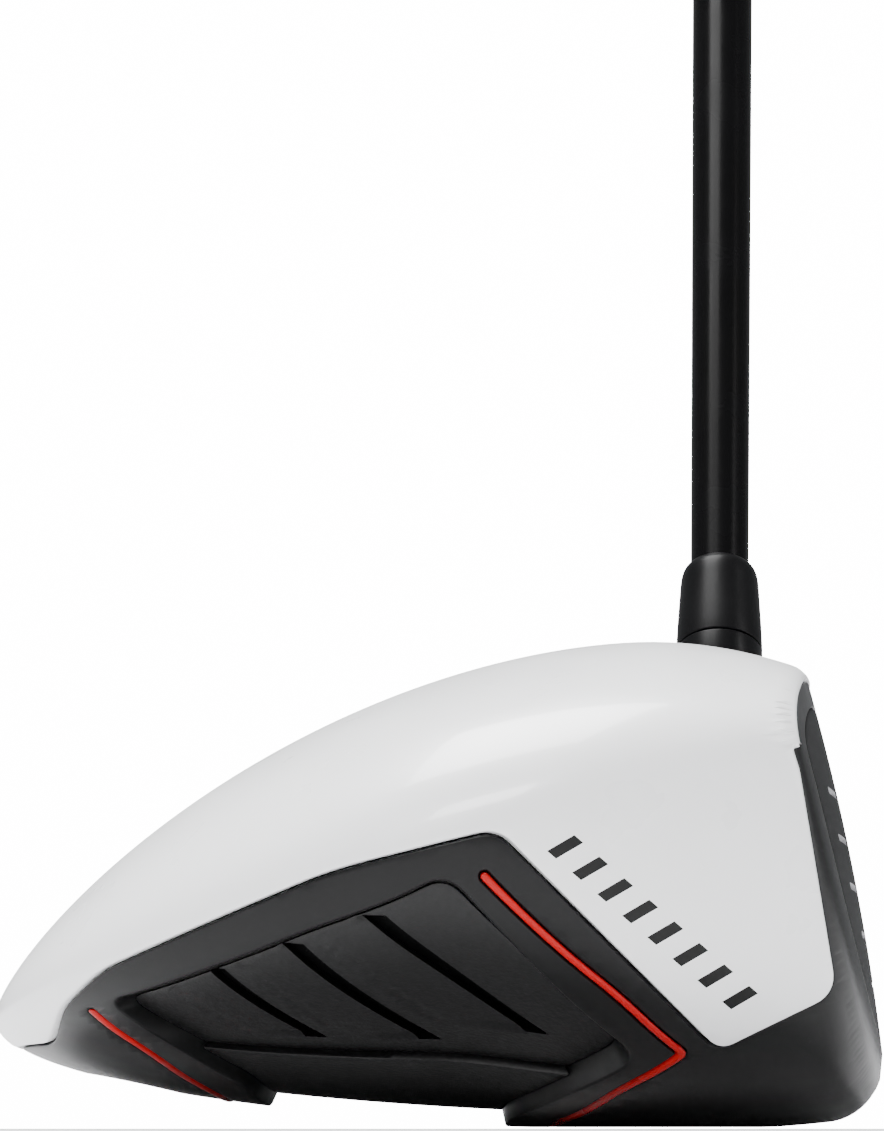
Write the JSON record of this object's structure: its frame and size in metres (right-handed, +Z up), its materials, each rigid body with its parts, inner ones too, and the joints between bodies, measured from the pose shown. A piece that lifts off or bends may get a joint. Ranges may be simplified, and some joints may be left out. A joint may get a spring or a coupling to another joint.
{
  "type": "golf driver",
  "caption": "Right-handed golf driver: hollow wood head with a light crown, louvred sole recess and accent beads, adjustable hosel, tapered shaft and rubber grip",
  "frame": {"origin": "on the flat land in the middle of the sole, the head's lowest point when the club is soled", "axes": "+X is the target direction, the way the face looks; +Y runs from toe to heel; +Z is up, with the club soled at its lie angle"},
  "size_m": [0.118, 0.6772, 1.0071],
  "materials": {
    "white_paint": "satin-gloss paint over moulded composite",
    "black_metal": "satin black over cast titanium",
    "face_metal": "dark brushed coating over titanium",
    "panel_plastic": "fine-grained moulded plastic",
    "red_plastic": "gloss red bead",
    "weight_metal": "turned dense alloy",
    "steel": "bright steel",
    "sleeve_metal": "black anodised",
    "gloss_black": "gloss clear coat over black",
    "rubber": "matt textured rubber",
    "tape_paper": "paper tape"
  },
  "bodies": {
    "shaft_assembly": {"shaft": "gloss_black", "adapter_sleeve": "sleeve_metal", "ferrule": "gloss_black", "tip_plug": "rubber", "grip_tape": "tape_paper", "grip": "rubber", "grip_cap": "rubber"},
    "head": {"head_body": "black_metal", "crown_shell": "white_paint", "face_plate": "face_metal", "toe_panel": "panel_plastic", "heel_panel": "panel_plastic", "keel_plate": "panel_plastic", "front_accent": "red_plastic", "rear_accent": "red_plastic", "hosel_washer": "steel"},
    "hosel_bolt": {"hosel_screw": "steel", "screw_keeper": "steel"},
    "weight_disc": {"rear_weight": "weight_metal"},
    "weight_bolt": {"rear_weight_screw": "steel"}
  },
  "joints": [
    {"name": "head_release", "type": "slide", "parent": "shaft_assembly", "child": "head", "axis": [0, -0.5, -0.866], "range_m": [0, 0.045]},
    {"name": "hosel_screw_turn", "type": "hinge", "parent": "head", "child": "hosel_bolt", "pos_m": [0.001, 0.026, 0], "axis": [0, 0.5, 0.866], "continuous": true},
    {"name": "weight_release", "type": "slide", "parent": "head", "child": "weight_disc", "axis": [-0.2045, 0, -0.9789], "range_m": [0, 0.0105]},
    {"name": "weight_screw_turn", "type": "hinge", "parent": "weight_disc", "child": "weight_bolt", "pos_m": [-0.076, 0, 0.0056], "axis": [-0.2045, 0, -0.9789], "range_deg": [0, 4725]}
  ],
  "couplings": [
    {"joint": "weight_screw_turn", "follows": "weight_release", "rad_per_m": 7854}
  ]
}
